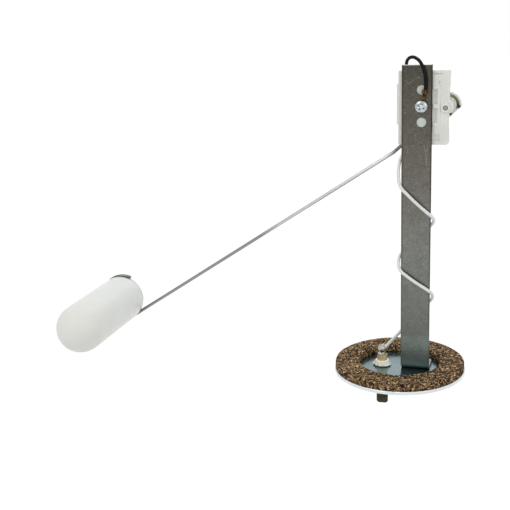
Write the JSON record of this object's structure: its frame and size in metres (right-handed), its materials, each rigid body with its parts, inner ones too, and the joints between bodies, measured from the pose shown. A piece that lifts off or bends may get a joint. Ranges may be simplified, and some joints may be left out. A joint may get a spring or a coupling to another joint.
{
  "type": "fuel level sender",
  "caption": "Fuel tank level sender: round flange with cork gasket, upright bracket strip, plastic resistor housing, and a capsule float on a pivoted wire arm.",
  "frame": {"origin": "centre of the gasket face that meets the tank", "axes": "+Z out of the gasket face and up the bracket strip, +X along the strip's width, -Y out of the strip's front face; the arm's pivot lies along Y"},
  "size_m": [0.1827, 0.0767, 0.1591],
  "materials": {
    "zinc_plate": "bright zinc plate",
    "cork": "granular cork",
    "zinc_strip": "mottled zinc plate",
    "steel": "bright",
    "nylon": "translucent white nylon",
    "dark_nylon": "dark moulding",
    "brass": "dull brass",
    "gold_brass": "bright brass",
    "solder": "bright solder",
    "wire_white": "translucent white insulation",
    "wire_black": "black insulation",
    "card": "phenolic card",
    "winding": "fine resistance wire",
    "bronze": "spring bronze",
    "arm_steel": "bright drawn wire",
    "float_nylon": "milky translucent nylon",
    "dark_metal": "tarnished brass"
  },
  "bodies": {
    "sender": {"flange_plate": "zinc_plate", "cork_gasket": "cork", "bracket_strip": "zinc_strip", "foot_rivet_left": "steel", "foot_rivet_right": "steel", "inner_bush": "nylon", "outer_insulator": "dark_nylon", "terminal_blade": "brass", "terminal_ferrule": "gold_brass", "terminal_solder": "solder", "signal_wire": "wire_white", "earth_wire": "wire_black", "ring_terminal": "brass", "earth_screw": "steel", "earth_nut": "steel", "housing_body": "nylon", "housing_cover": "nylon", "cover_screw_lower": "steel", "cover_screw_upper": "steel", "card_former": "card", "resistance_winding": "winding", "signal_tag": "brass", "pickup_spring": "bronze"},
    "float_arm": {"arm_wire": "arm_steel", "float": "float_nylon", "rotor_hub": "nylon", "rotor_pin": "steel", "rotor_plate": "dark_metal", "wiper_spring": "bronze"}
  },
  "joints": [
    {"name": "float_arm_pivot", "type": "hinge", "parent": "sender", "child": "float_arm", "pos_m": [0.0193, 0, 0.115], "axis": [0, 1, 0], "range_deg": [0, 72]}
  ]
}
